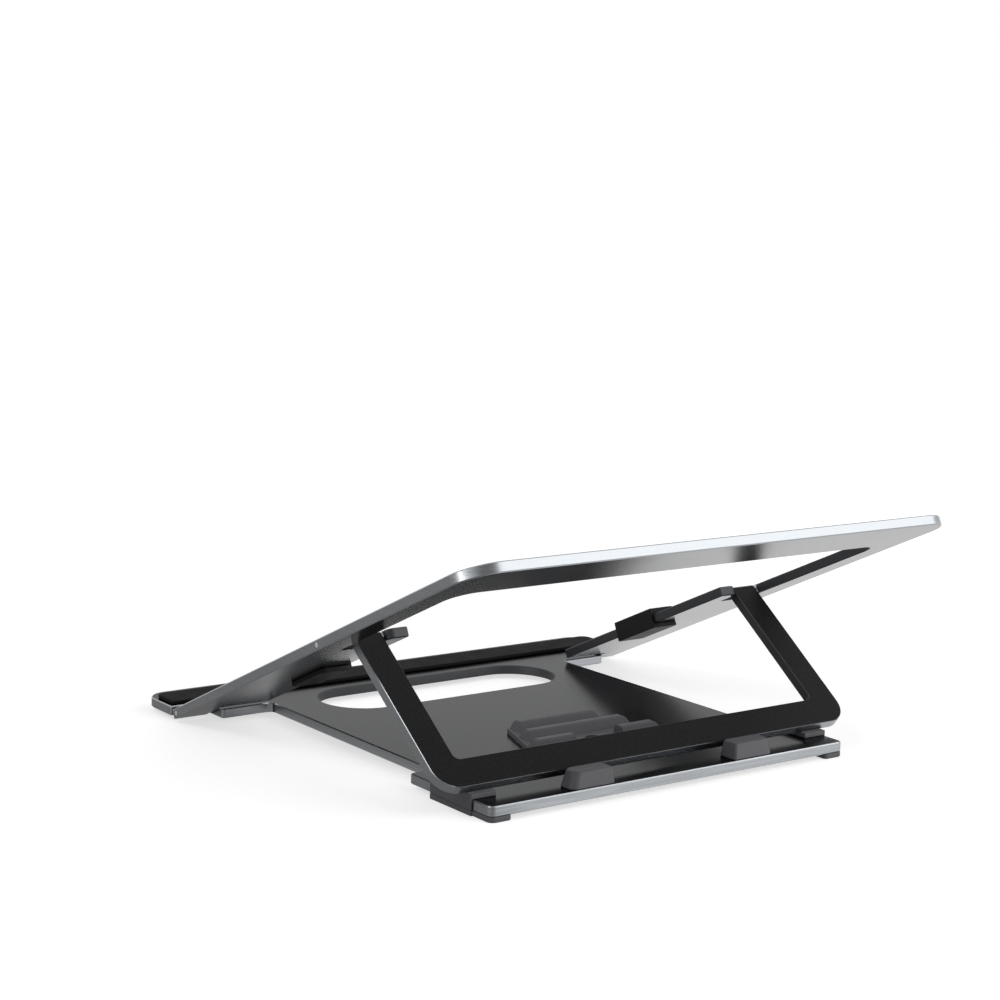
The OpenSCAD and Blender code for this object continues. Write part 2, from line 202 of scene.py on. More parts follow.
def rod(name, start, end, radius, sides):
    """A cylinder primitive along X, from start to end."""
    clear_selection()
    start, end = Vector(start), Vector(end)
    bpy.ops.mesh.primitive_cylinder_add(
        vertices=sides, radius=radius, depth=(end - start).length,
        location=(start + end) / 2, rotation=(0, math.pi / 2, 0))
    bpy.ops.object.transform_apply(location=True, rotation=True, scale=True)
    piece = bpy.context.object
    piece.name = piece.data.name = name
    return piece


def pick(piece, kind, test):
    """Selects the vertices or edges whose points all pass the test, then enters edit mode."""
    make_active(piece)
    mesh = piece.data
    for items in (mesh.vertices, mesh.edges, mesh.polygons):
        items.foreach_set("select", [False] * len(items))
    bpy.context.tool_settings.mesh_select_mode = (kind == "VERT", kind == "EDGE", False)
    if kind == "VERT":
        for vertex in mesh.vertices:
            vertex.select = test([vertex.co])
    else:
        for edge in mesh.edges:
            edge.select = test([mesh.vertices[i].co for i in edge.vertices])
    bpy.ops.object.mode_set(mode="EDIT")


def bevel(piece, test, radius, segments):
    """Rounds the edges that pass the test."""
    pick(piece, "EDGE", test)
    bpy.ops.mesh.bevel(offset=radius, segments=segments, affect="EDGES")
    bpy.ops.object.mode_set(mode="OBJECT")


def upright_at(points):
    """A test for upright edges that stand at one of the given X, Y places."""
    return lambda ends: any(
        all(abs(e.x - x) < NEAR and abs(e.y - y) < NEAR for e in ends) for x, y in points)


def round_corners(piece, points, radius, segments):
    """Rounds the upright edges at the given X, Y places."""
    bevel(piece, upright_at(points), radius, segments)


def break_corners(piece, points):
    """Takes the sharpness off the upright edges at the given X, Y places."""
    round_corners(piece, points, bpy.context.scene.stand_sizes.small_radius, segments=4)


def round_ends(piece, low, high, segments):
    """Makes a strip's two short ends half round."""
    corners = [(x, y) for x in (low.x, high.x) for y in (low.y, high.y)]
    round_corners(piece, corners, (high.y - low.y) / 2 - HAIR, segments)


def both(x, y):
    """The same place on the left and on the right."""
    return [(-x, y), (x, y)]


def apply_modifier(piece, kind, **settings):
    """Adds one modifier with its settings and applies it."""
    make_active(piece)
    modifier = piece.modifiers.new(kind.title(), kind)
    for name, value in settings.items():
        setattr(modifier, name, value)
    bpy.ops.object.modifier_apply(modifier=modifier.name)


def combine(piece, other, operation):
    """Adds the other piece to this one or cuts it out, and removes it."""
    apply_modifier(piece, "BOOLEAN", operation=operation, object=other, solver="EXACT")
    mesh = other.data
    bpy.data.objects.remove(other)
    bpy.data.meshes.remove(mesh)


def clean(piece):
    """Merges doubles and dissolves the flat seams that joins and cuts leave."""
    pick(piece, "VERT", lambda ends: True)
    bpy.ops.mesh.remove_doubles(threshold=0.005 * MM)
    bpy.ops.mesh.dissolve_limited(angle_limit=math.radians(0.2))
    bpy.ops.mesh.normals_make_consistent(inside=False)
    bpy.ops.object.mode_set(mode="OBJECT")


def soften(piece, width, segments=1, angle=40):
    """Bevels every edge that is sharper than the angle."""
    apply_modifier(
        piece, "BEVEL", width=width, segments=segments, limit_method="ANGLE",
        angle_limit=math.radians(angle), use_clamp_overlap=True)


def soften_moulded(piece, width, segments, seat, angle=40):
    """Rounds a moulding's sharp edges, but for those that lie at the height that it sits on."""
    pick(piece, "EDGE", lambda ends: False)
    bpy.ops.mesh.edges_select_sharp(sharpness=math.radians(angle))
    bpy.ops.object.mode_set(mode="OBJECT")
    mesh = piece.data
    for edge in mesh.edges:
        if all(abs(mesh.vertices[i].co.z - seat) < NEAR for i in edge.vertices):
            edge.select = False
    bpy.ops.object.mode_set(mode="EDIT")
    bpy.ops.mesh.bevel(offset=width, segments=segments, affect="EDGES", clamp_overlap=True)
    bpy.ops.object.mode_set(mode="OBJECT")


def shift_points(piece, test, offset):
    """Moves the points that pass the test."""
    pick(piece, "VERT", lambda ends: test(ends[0]))
    bpy.ops.transform.translate(value=offset)
    bpy.ops.object.mode_set(mode="OBJECT")


def split_at(piece, y):
    """Cuts an extra row of edges across a piece at the given Y."""
    pick(piece, "VERT", lambda ends: True)
    bpy.ops.mesh.bisect(plane_co=(0, y, 0), plane_no=(0, 1, 0))
    bpy.ops.object.mode_set(mode="OBJECT")


def paint_edges(piece, in_painted_shade):
    """Gives a flat plate's edges the second finish, and those that pass the test the third, whose darker
    colour is painted shade.
    """
    flat = 0.95
    for face in piece.data.polygons:
        if abs(face.normal.z) < flat:
            face.material_index = 2 if in_painted_shade(face.center) else 1


def settle(piece, place, node, body, finishes, angle=30):
    """Puts a finished piece in its place, gives it its finishes and ties it to the frame."""
    piece.matrix_world = place
    make_active(piece)
    bpy.ops.object.transform_apply(location=True, rotation=True, scale=True)
    for kind in finishes:
        piece.data.materials.append(finish(kind))
    bpy.ops.object.shade_smooth_by_angle(angle=math.radians(angle))
    apply_modifier(piece, "WEIGHTED_NORMAL", keep_sharp=True, weight=100)
    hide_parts(node)
    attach(piece, body)


# ---------------------------------------------------------------- materials

# Nearly all of a noise texture's values lie in this span.
NOISE_SPAN = {"From Min": 0.3, "From Max": 0.7}


def add_node(tree, kind, values=None):
    """Adds a node with its sockets and settings; another node's output is linked to its socket."""
    node = tree.nodes.new(kind)
    for name, value in (values or {}).items():
        if isinstance(value, bpy.types.NodeSocket):
            tree.links.new(value, node.inputs[name])
        elif isinstance(name, int) or name in node.inputs:
            node.inputs[name].default_value = value
        else:
            setattr(node, name, value)
    return node


def new_material(name):
    """An empty node material; returns it with its tree and the coordinates for its patterns."""
    material = bpy.data.materials.new(name)
    material.use_nodes = True
    tree = material.node_tree
    tree.nodes.clear()
    return material, tree, add_node(tree, "ShaderNodeTexCoord").outputs["Object"]


def varied(tree, noise, tint, dark, light, span=NOISE_SPAN):
    """A tint times a level that runs from dark to light with the noise."""
    level = add_node(tree, "ShaderNodeMapRange", {
        "Value": noise.outputs["Fac"], "To Min": dark, "To Max": light, **span})
    product = add_node(tree, "ShaderNodeVectorMath", {
        "operation": "MULTIPLY", 0: tint, 1: level.outputs["Result"]})
    return product.outputs["Vector"]


def anodised(name, tint, roughness, grazing):
    """Bead-blasted and anodised aluminium: a satin metal with a very fine, even grain."""
    material, tree, place = new_material(name)
    # Bead-blast dimples are about 0.1 mm; drawn at 0.35 mm so that they just show.
    dimples = add_node(tree, "ShaderNodeTexNoise", {"Vector": place, "Scale": 1 / (0.35 * MM)})
    # The dye drifts slowly over a few centimetres.
    drift = add_node(tree, "ShaderNodeTexNoise", {
        "Vector": place, "Scale": 1 / (40 * MM), "Detail": 1.0})
    satin = add_node(tree, "ShaderNodeMapRange", {
        "Value": drift.outputs["Fac"], "To Min": roughness - 0.01, "To Max": roughness + 0.01,
        **NOISE_SPAN})
    dye = varied(tree, dimples, tint, 0.97, 1.03)
    shader = add_node(tree, "ShaderNodeBsdfPrincipled", {
        "Base Color": varied(tree, drift, dye, 0.96, 1.04),
        "Roughness": satin.outputs["Result"],
        "Metallic": 1.0,
        # A grazing tint below one dims the reflections at low angles; on the base plate this is painted
        # shade.
        "Specular Tint": (grazing, grazing, grazing, 1)})
    add_node(tree, "ShaderNodeOutputMaterial", {"Surface": shader.outputs["BSDF"]})
    return material


def machined(name, tint, roughness):
    """Milled plate edge, polished or left satin: it mirrors, with faint marks along the cut. The satin
    one's darker colour is painted shade.
    """
    material, tree, place = new_material(name)
    # Cutter marks run along the plate, about 0.4 mm apart through its thickness.
    along = add_node(tree, "ShaderNodeMapping", {"Vector": place, "Scale": (0.02, 0.02, 1.0)})
    marks = add_node(tree, "ShaderNodeTexNoise", {
        "Vector": along.outputs["Vector"], "Scale": 1 / (0.4 * MM), "Detail": 1.0})
    bump = add_node(tree, "ShaderNodeBump", {
        "Height": marks.outputs["Fac"], "Strength": 0.04, "Distance": 0.01 * MM})
    polish = add_node(tree, "ShaderNodeMapRange", {
        "Value": marks.outputs["Fac"], "To Min": roughness * 0.85, "To Max": roughness * 1.15,
        **NOISE_SPAN})
    shader = add_node(tree, "ShaderNodeBsdfPrincipled", {
        "Base Color": varied(tree, marks, tint, 0.97, 1.03),
        "Roughness": polish.outputs["Result"],
        "Normal": bump.outputs["Normal"],
        "Metallic": 1.0})
    add_node(tree, "ShaderNodeOutputMaterial", {"Surface": shader.outputs["BSDF"]})
    return material


def textured_coat(name, tint):
    """Black powder coat with a fine sandy texture: it scatters light, and single grains carry painted
    glints in their colour.
    """
    material, tree, place = new_material(name)
    # Powder grains of about 0.25 mm, drawn at 0.6 mm, over a softer orange peel of 2 mm.
    sand = add_node(tree, "ShaderNodeTexNoise", {
        "Vector": place, "Scale": 1 / (0.6 * MM), "Detail": 3.0, "Roughness": 0.7})
    peel = add_node(tree, "ShaderNodeTexNoise", {
        "Vector": place, "Scale": 1 / (2 * MM), "Detail": 1.0})
    height = add_node(tree, "ShaderNodeMath", {
        "operation": "ADD", 0: sand.outputs["Fac"], 1: peel.outputs["Fac"]})
    bump = add_node(tree, "ShaderNodeBump", {
        "Height": height.outputs["Value"], "Strength": 0.4, "Distance": 0.05 * MM})
    matt = add_node(tree, "ShaderNodeMapRange", {
        "Value": sand.outputs["Fac"], "To Min": 0.45, "To Max": 0.65, **NOISE_SPAN})
    # Painted glints: where the noise is highest, the grains' colour is raised up to four times.
    glint_span = {"From Min": 0.5, "From Max": 0.75}
    shader = add_node(tree, "ShaderNodeBsdfPrincipled", {
        "Base Color": varied(tree, sand, tint, 0.7, 4.0, glint_span),
        "Roughness": matt.outputs["Result"],
        "Normal": bump.outputs["Normal"],
        "Specular IOR Level": 0.1})
    add_node(tree, "ShaderNodeOutputMaterial", {"Surface": shader.outputs["BSDF"]})
    return material


def moulded_rubber(name, tint, roughness, gloss):
    """Moulded silicone rubber: matt, slightly mottled, with a soft sheen at grazing angles."""
    material, tree, place = new_material(name)
    # Spark-eroded mould texture of about 0.3 mm, and dusty mottling of some 6 mm.
    skin = add_node(tree, "ShaderNodeTexNoise", {"Vector": place, "Scale": 1 / (0.3 * MM)})
    dust = add_node(tree, "ShaderNodeTexNoise", {
        "Vector": place, "Scale": 1 / (6 * MM), "Detail": 3.0})
    bump = add_node(tree, "ShaderNodeBump", {
        "Height": skin.outputs["Fac"], "Strength": 0.2, "Distance": 0.03 * MM})
    matt = add_node(tree, "ShaderNodeMapRange", {
        "Value": dust.outputs["Fac"], "To Min": roughness - 0.05, "To Max": roughness + 0.05,
        **NOISE_SPAN})
    shader = add_node(tree, "ShaderNodeBsdfPrincipled", {
        "Base Color": varied(tree, dust, tint, 0.9, 1.1),
        "Roughness": matt.outputs["Result"],
        "Normal": bump.outputs["Normal"],
        "Specular IOR Level": gloss})
    add_node(tree, "ShaderNodeOutputMaterial", {"Surface": shader.outputs["BSDF"]})
    return material


def turned_steel(name, tint, roughness):
    """Turned or stamped steel: bright, with a very fine grain from the tool."""
    material, tree, place = new_material(name)
    # Tool marks of about 0.15 mm, too small on these pieces for their direction to show.
    marks = add_node(tree, "ShaderNodeTexNoise", {
        "Vector": place, "Scale": 1 / (0.15 * MM), "Detail": 1.0})
    polish = add_node(tree, "ShaderNodeMapRange", {
        "Value": marks.outputs["Fac"], "To Min": roughness - 0.05, "To Max": roughness + 0.05,
        **NOISE_SPAN})
    shader = add_node(tree, "ShaderNodeBsdfPrincipled", {
        "Base Color": varied(tree, marks, tint, 0.95, 1.05),
        "Roughness": polish.outputs["Result"],
        "Metallic": 1.0})
    add_node(tree, "ShaderNodeOutputMaterial", {"Surface": shader.outputs["BSDF"]})
    return material


# Each finish: what makes it, its colour's name in StandColours, and the maker's settings.
FINISHES = {
    # The base plate's grazing tint of 0.6 darkens its top at low angles: painted shade.
    "black_dyed_anodised_aluminium": (anodised, "base_plate", {"roughness": 0.2, "grazing": 0.6}),
    "grey_dyed_anodised_aluminium": (anodised, "tray", {"roughness": 0.2, "grazing": 1.0}),
    "polished_plate_edge": (machined, "edge", {"roughness": 0.28}),
    "satin_plate_edge": (machined, "inner_edge", {"roughness": 0.5}),
    "black_textured_powder_coat": (textured_coat, "prop", {}),
    "turned_steel": (turned_steel, "steel", {"roughness": 0.4}),
    "plain_steel_washer": (turned_steel, "washer", {"roughness": 0.35}),
    "grey_silicone_rubber": (moulded_rubber, "base_rubber", {"roughness": 0.55, "gloss": 0.25}),
    "dark_silicone_rubber": (moulded_rubber, "clip_rubber", {"roughness": 0.5, "gloss": 0.12}),
    # This black rubber is darkened further and given almost no sheen: partly its own black, partly painted
    # shade.
    "black_silicone_rubber": (moulded_rubber, "front_rubber", {"roughness": 0.7, "gloss": 0.05}),
}
# A plate's faces have their own finish, and its edges these two: polished outer edges, and the edges of its
# openings, darker as painted shade.
EDGE_FINISHES = ("polished_plate_edge", "satin_plate_edge")


def finish(kind):
    """The material of that finish, made once."""
    made = bpy.data.materials.get(kind)
    if not made:
        maker, swatch, settings = FINISHES[kind]
        made = maker(kind, getattr(bpy.context.scene.stand_colours, swatch), **settings)
    return made


# ---------------------------------------------------------------- the plates

class Layout:
    """Where the three plates' edges lie, from the frame's boxes and the stand's sizes"""

    def __init__(self):
        s = bpy.context.scene.stand_sizes
        base_low, base_high = local_box("base_plate", ON_BASE)
        tray_low, tray_high = local_box("tray_frame", ON_TRAY)
        prop_high = local_box("prop_frame", ON_PROP)[1]
        self.thick = base_high.z
        # Half widths; the plates nest side by side with a gap between them.
        self.edge = tray_high.x
        self.arm_in = self.edge - s.arm_front
        self.rear_in = self.edge - s.arm_rear
        self.lug_out = self.arm_in + s.lug
        self.prop_out = prop_high.x
        self.prop_in = self.prop_out - s.prop_bar
        self.base_mid = self.arm_in - s.nest_gap
        self.base_rear = self.prop_in - s.nest_gap
        self.arm_end = self.rear_in - s.nest_gap
        self.wing = self.arm_end - s.hinge_gap
        # Places along Y, each in its own plate's working frame.
        self.front = base_low.y
        self.bar_back = base_low.y + s.front_bar
        self.wing_back = s.arm_step - s.nest_gap / 2
        self.base_back = base_high.y
        self.base_step = base_high.y - s.base_rear_depth
        self.tray_front = tray_low.y
        self.tray_back = tray_high.y
        self.pin_y = (ON_TRAY.inverted() @ PROP_PIN).y
        self.prop_length = prop_high.y


class STAND_OT_base_plate(bpy.types.Operator):
    """Model the base plate with its front bar, wings, hand slot and wide rear end"""
    bl_idname = "stand.base_plate"
    bl_label = "Base plate"

    def execute(self, context):
        s, at = context.scene.stand_sizes, Layout()
        plate = block("base_plate_shell", (-at.edge, at.front, 0), (at.edge, at.bar_back, at.thick))
        round_corners(plate, both(at.edge, at.front), s.bar_radius, segments=12)
        break_corners(plate, both(at.edge, at.bar_back))
        wings = block("wings", (-at.wing, at.bar_back - OVER, 0), (at.wing, at.wing_back, at.thick))
        round_corners(wings, both(at.wing, at.wing_back), s.wing_radius, segments=5)
        combine(plate, wings, "UNION")
        middle = block("middle", (-at.base_mid, 0, 0), (at.base_mid, at.base_back - OVER, at.thick))
        combine(plate, middle, "UNION")
        rear = block("rear", (-at.base_rear, at.base_step, 0), (at.base_rear, at.base_back, at.thick))
        round_corners(rear, both(at.base_rear, at.base_back), s.rear_radius, segments=12)
        break_corners(rear, both(at.base_rear, at.base_step))
        combine(plate, rear, "UNION")
        half_w, half_d = s.slot_width / 2, s.slot_depth / 2
        slot = block("slot", (-half_w, s.slot_centre - half_d, -OVER),
                     (half_w, s.slot_centre + half_d, at.thick + OVER))
        ends = both(half_w, s.slot_centre - half_d) + both(half_w, s.slot_centre + half_d)
        round_corners(slot, ends, half_d - HAIR, segments=20)
        combine(plate, slot, "DIFFERENCE")
        clean(plate)
        round_corners(plate, both(at.base_mid, at.wing_back), s.inner_radius, segments=6)
        soften(plate, s.chamfer)
        # The hand slot's walls take the darker edge finish, which is painted shade.
        paint_edges(plate, lambda p: abs(p.x) < half_w + half_d
                    and abs(p.y - s.slot_centre) < half_d + OVER)
        settle(plate, ON_BASE, "base_plate", "base",
               ("black_dyed_anodised_aluminium", *EDGE_FINISHES))
        return {"FINISHED"}


class STAND_OT_tray_frame(bpy.types.Operator):
    """Model the U-shaped tray frame with its lugs and the slots for the prop's arms"""
    bl_idname = "stand.tray_frame"
    bl_label = "Tray frame"

    def execute(self, context):
        s, at = context.scene.stand_sizes, Layout()
        half = at.thick / 2
        lug_end = at.pin_y + s.lug_reach
        slot_front = at.pin_y - s.slot_reach
        window_back = at.tray_back - s.rear_bar
        tray = block("tray_frame_shell", (-at.edge, at.tray_front, -half), (at.edge, at.tray_back, half))
        round_corners(tray, both(at.edge, at.tray_back), s.tray_radius, segments=20)
        gap = block("gap", (-at.arm_in, at.tray_front - OVER, -half - OVER),
                    (at.arm_in, lug_end + OVER, half + OVER))
        combine(tray, gap, "DIFFERENCE")
        notch = block("notch", (-at.arm_end, at.tray_front - OVER, -half - OVER),
                      (at.arm_end, s.arm_step, half + OVER))
        combine(tray, notch, "DIFFERENCE")
        window = block("window", (-at.rear_in, lug_end, -half - OVER),
                       (at.rear_in, window_back, half + OVER))
        round_corners(window, both(at.rear_in, window_back), s.window_radius, segments=12)
        combine(tray, window, "DIFFERENCE")
        for sign in SIDES.values():
            x0, x1 = sorted((sign * at.lug_out, sign * at.rear_in))
            slot = block("slot", (x0, slot_front, -half - OVER), (x1, lug_end + OVER, half + OVER))
            combine(tray, slot, "DIFFERENCE")
        clean(tray)
        round_corners(tray, both(at.lug_out, lug_end), s.lug_radius, segments=6)
        break_corners(tray, both(at.lug_out, slot_front))
        break_corners(tray, both(at.rear_in, slot_front))
        break_corners(tray, both(at.arm_end, s.arm_step))
        soften(tray, s.chamfer)
        # The pins' ends lie flush in bores that come out at the outer edges.
        for y, seat in ((0, at.arm_end - OVER), (at.pin_y, at.lug_out - s.pin_seat)):
            for sign in SIDES.values():
                x0, x1 = sorted((sign * seat, sign * (at.edge + OVER)))
                bore = rod("bore", (x0, y, 0), (x1, y, 0), s.bore_radius, sides=32)
                combine(tray, bore, "DIFFERENCE")
        # The edges of the window, the slots and the lugs take the darker edge finish, which is painted
        # shade.
        paint_edges(tray, lambda p: abs(p.x) < at.rear_in + OVER and p.y < window_back + OVER)
        settle(tray, ON_TRAY, "tray_frame", "tray",
               ("grey_dyed_anodised_aluminium", *EDGE_FINISHES))
        return {"FINISHED"}


class STAND_OT_prop_frame(bpy.types.Operator):
    """Model the U-shaped prop frame with its round noses at the pins"""
    bl_idname = "stand.prop_frame"
    bl_label = "Prop frame"

    def execute(self, context):
        s, at = context.scene.stand_sizes, Layout()
        half = at.thick / 2
        nose, bar_front = -half, at.prop_length - s.prop_bar
        prop = block("prop_frame_shell", (-at.prop_out, nose, -half), (at.prop_out, at.prop_length, half))
        round_corners(prop, both(at.prop_out, at.prop_length), s.prop_radius, segments=16)
        window = block("window", (-at.prop_in, nose - OVER, -half - OVER),
                       (at.prop_in, bar_front, half + OVER))
        round_corners(window, both(at.prop_in, bar_front), s.inner_radius, segments=6)
        combine(prop, window, "DIFFERENCE")
        clean(prop)
        # The arms' ends are round about the pins.
        bevel(prop, lambda ends: all(abs(e.y - nose) < HAIR for e in ends)
              and abs(ends[0].z - ends[1].z) < HAIR, half - HAIR, segments=8)
        soften(prop, s.prop_chamfer)

        # The edges of the prop's window take the darker edge finish, which is painted shade.
        def in_painted_shade(p):
            in_window = abs(p.x) < at.prop_in + OVER and p.y < bar_front + OVER
            # The rims of the foot's end take the darker finish as well, which dims the floor's bright
            # reflection in them: painted shade.
            on_foot_rim = p.y > at.prop_length - s.prop_chamfer and abs(p.z) > half - s.prop_chamfer
            return in_window or on_foot_rim

        paint_edges(prop, in_painted_shade)
        settle(prop, ON_PROP, "prop_frame", "prop",
               ("black_textured_powder_coat", *EDGE_FINISHES))
        return {"FINISHED"}


# ---------------------------------------------------------------- pins and washers

class STAND_OT_hinge_pins(bpy.types.Operator):
    """Model the four hinge pins with chamfered ends, and finish the washers"""
    bl_idname = "stand.hinge_pins"
    bl_label = "Hinge pins"

    def execute(self, context):
        s = context.scene.stand_sizes
        for kind, body in (("front_hinge_pin", "base"), ("prop_hinge_pin", "tray")):
            for side in SIDES:
                node = f"{kind}_{side}"
                low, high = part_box(node)
                middle, radius = (low + high) / 2, (high.z - low.z) / 2
                pin = rod(f"{node}_turned", (low.x, middle.y, middle.z),
                          (high.x, middle.y, middle.z), radius, sides=48)
                soften(pin, s.pin_chamfer, segments=2, angle=60)
                settle(pin, Matrix.Identity(4), node, body, ("turned_steel",))
        for name, node in frame["nodes"].items():
            if "washer" in name:
                node.data.materials.clear()
                node.data.materials.append(finish("plain_steel_washer"))
        return {"FINISHED"}


# ---------------------------------------------------------------- rubber on the base

class STAND_OT_front_pad(bpy.types.Operator):
    """Model the long rubber strip on the front bar"""
    bl_idname = "stand.front_pad"
    bl_label = "Front rubber pad"

    def execute(self, context):
        s, node = context.scene.stand_sizes, "front_rubber_pad"
        low, high = local_box(node, ON_BASE)
        pad = block(f"{node}_moulded", low, high)
        round_corners(pad, both(high.x, low.y), s.pad_radius, segments=10)
        break_corners(pad, both(high.x, high.y))
        soften_moulded(pad, s.pad_round, segments=4, seat=low.z)
        settle(pad, ON_BASE, node, "base", ("black_silicone_rubber",))
        return {"FINISHED"}


class STAND_OT_angle_rack(bpy.types.Operator):
    """Model the angle rack: three rounded ridges on a floor, the last with a gap and a hole"""
    bl_idname = "stand.angle_rack"
    bl_label = "Angle rack"

    # A ridge's shape: from its crest's middle to its front and rear foot and to the crest's rear
    # rim, how far its front leans back, and how far each of its ends leans in.
    front_foot = 2.8 * MM
    rear_foot = 5.8 * MM
    crest_rear = 1.6 * MM
    front_lean = 0.8 * MM
    end_lean = 3 * MM

    def ridge(self, width, front, low, high):
        """One ridge of that width whose front foot lies at front, with its crest rounded."""
        rear = front + self.front_foot + self.rear_foot
        piece = block("ridge", (-width / 2, front, low.z), (width / 2, rear, high.z))
        top = high.z - HAIR
        shift_points(piece, lambda p: p.z > top and p.y > front + OVER,
                     (0, self.crest_rear - self.rear_foot, 0))
        shift_points(piece, lambda p: p.z > top, (0, self.front_lean, 0))
        for sign in SIDES.values():
            shift_points(piece, lambda p: p.z > top and p.x * sign > 0, (-sign * self.end_lean, 0, 0))
        crest_round = bpy.context.scene.stand_sizes.crest_round
        bevel(piece, lambda ends: all(e.z > top for e in ends), crest_round, segments=6)
        return piece

    def execute(self, context):
        s, node = context.scene.stand_sizes, "angle_rack"
        low, high = local_box(node, ON_BASE)
        last_width = high.x - low.x
        rack = block(f"{node}_moulded", low, (high.x, high.y, low.z + s.rack_floor))
        # The floor narrows from the last ridge to the first.
        split_at(rack, high.y - self.rear_foot)
        pick(rack, "VERT", lambda ends: ends[0].y < low.y + OVER)
        bpy.ops.transform.resize(
            value=(s.rack_front / last_width, 1, 1), center_override=(0, low.y, 0))
        bpy.ops.object.mode_set(mode="OBJECT")
        last = 2
        for i in range(last + 1):
            width = s.rack_front + i * (last_width - s.rack_front) / last
            front = low.y + i * s.rack_pitch
            ridge = self.ridge(width, front, low, high)
            if i == last:
                # The gap's cutter goes a little into the floor, so that no skin is left on it.
                bite = 0.2 * MM
                gap = block("gap", (-s.rack_gap / 2, front - OVER, low.z + s.rack_floor - bite),
                            (s.rack_gap / 2, high.y + OVER, high.z + OVER))
                combine(ridge, gap, "DIFFERENCE")
                clean(ridge)
            combine(rack, ridge, "UNION")
        clean(rack)
        # The hole lies in the gap, in line with the last ridge's crest.
        clear_selection()
        bpy.ops.mesh.primitive_cylinder_add(
            vertices=48, radius=s.rack_hole / 2, depth=2 * (high.z - low.z),
            location=(0, low.y + last * s.rack_pitch + self.front_foot, low.z))
        combine(rack, context.object, "DIFFERENCE")
        clean(rack)
        soften_moulded(rack, s.rack_round, segments=2, seat=low.z, angle=50)
        settle(rack, ON_BASE, node, "base", ("grey_silicone_rubber",), angle=50)
        return {"FINISHED"}


class STAND_OT_stop_blocks(bpy.types.Operator):
    """Model the two tapered blocks that stand behind the prop's foot"""
    bl_idname = "stand.stop_blocks"
    bl_label = "Stop blocks"

    def execute(self, context):
        s = context.scene.stand_sizes
        outer_lean, inner_lean, rear_lean = 2 * MM, 1 * MM, 1 * MM
        outer_radius, inner_radius = 3 * MM, 1 * MM
        # Upright edges rise more than this, and the others lie level.
        rise = 2 * MM
        for side, sign in SIDES.items():
            node = f"stop_block_{side}"
            low, high = local_box(node, ON_BASE)
            top, middle = high.z - HAIR, (low + high) / 2
            corners = [ON_BASE.inverted() @ v.co for v in frame["nodes"][node].data.vertices]
            top_front = min(c.y for c in corners if c.z > top)
            stop = block(f"{node}_moulded", low, high)
            # The front leans back, along the way that the prop's foot swings down.
            shift_points(stop, lambda p: p.z > top and p.y < middle.y, (0, top_front - low.y, 0))
            shift_points(stop, lambda p: p.z > top and p.y > middle.y, (0, -rear_lean, 0))
            shift_points(stop, lambda p: p.z > top and (p.x - middle.x) * sign > 0,
                         (-sign * outer_lean, 0, 0))
            shift_points(stop, lambda p: p.z > top and (p.x - middle.x) * sign < 0,
                         (sign * inner_lean, 0, 0))
            for outer, radius in ((True, outer_radius), (False, inner_radius)):
                bevel(stop, lambda ends: abs(ends[0].z - ends[1].z) > rise
                      and ((ends[0].x - middle.x) * sign > 0) == outer, radius, segments=8)
            soften_moulded(stop, s.stop_round, segments=4, seat=low.z)
            settle(stop, ON_BASE, node, "base", ("grey_silicone_rubber",))
        return {"FINISHED"}


class STAND_OT_corner_bumpers(bpy.types.Operator):
    """Model the rubber clips on the base plate's rear corners"""
    bl_idname = "stand.corner_bumpers"
    bl_label = "Corner bumpers"

    def execute(self, context):
        s, at = context.scene.stand_sizes, Layout()
        for side, sign in SIDES.items():
            node = f"corner_bumper_{side}"
            low, high = local_box(node, ON_BASE)
            bumper = block(f"{node}_moulded", low, high)
            x0, x1 = sorted((0, sign * at.base_rear))
            plate = block("plate", (x0, low.y - OVER, -OVER), (x1, high.y + OVER, at.thick))
            combine(bumper, plate, "DIFFERENCE")
            clean(bumper)
            soften_moulded(bumper, s.rubber_round, segments=3, seat=at.thick)
            settle(bumper, ON_BASE, node, "base", ("grey_silicone_rubber",))
        return {"FINISHED"}


class STAND_OT_feet(bpy.types.Operator):
    """Model the two long rear feet and the two front feet"""
    bl_idname = "stand.feet"
    bl_label = "Feet"

    def execute(self, context):
        s, at = context.scene.stand_sizes, Layout()
        for side, sign in SIDES.items():
            node = f"rear_foot_{side}"
            low, high = local_box(node, ON_BASE)
            foot = block(f"{node}_moulded", low, high)
            outer = high.x if sign > 0 else low.x
            inner = sign * (at.base_rear - s.foot_width)
            # Behind the bumper the foot is only as wide as the plate.
            x0, x1 = sorted((sign * at.base_rear, outer + sign * OVER))
            bumper_back = local_box(f"corner_bumper_{side}", ON_BASE)[1].y
            lip = block("lip", (x0, bumper_back, low.z - OVER), (x1, high.y + OVER, high.z + OVER))
            combine(foot, lip, "DIFFERENCE")
            clean(foot)
            round_corners(foot, [(sign * at.base_rear, high.y)], s.rear_radius, segments=10)
            round_corners(foot, [(inner, high.y), (inner, low.y)], s.foot_radius, segments=6)
            soften_moulded(foot, s.rubber_round, segments=3, seat=high.z)
            settle(foot, ON_BASE, node, "base", ("grey_silicone_rubber",))
        for side in SIDES:
            node = f"front_foot_{side}"
            low, high = local_box(node, ON_BASE)
            foot = block(f"{node}_moulded", low, high)
            round_ends(foot, low, high, segments=12)
            soften_moulded(foot, s.rubber_round, segments=3, seat=high.z)
            settle(foot, ON_BASE, node, "base", ("black_silicone_rubber",))
        return {"FINISHED"}


# ---------------------------------------------------------------- rubber on the tray

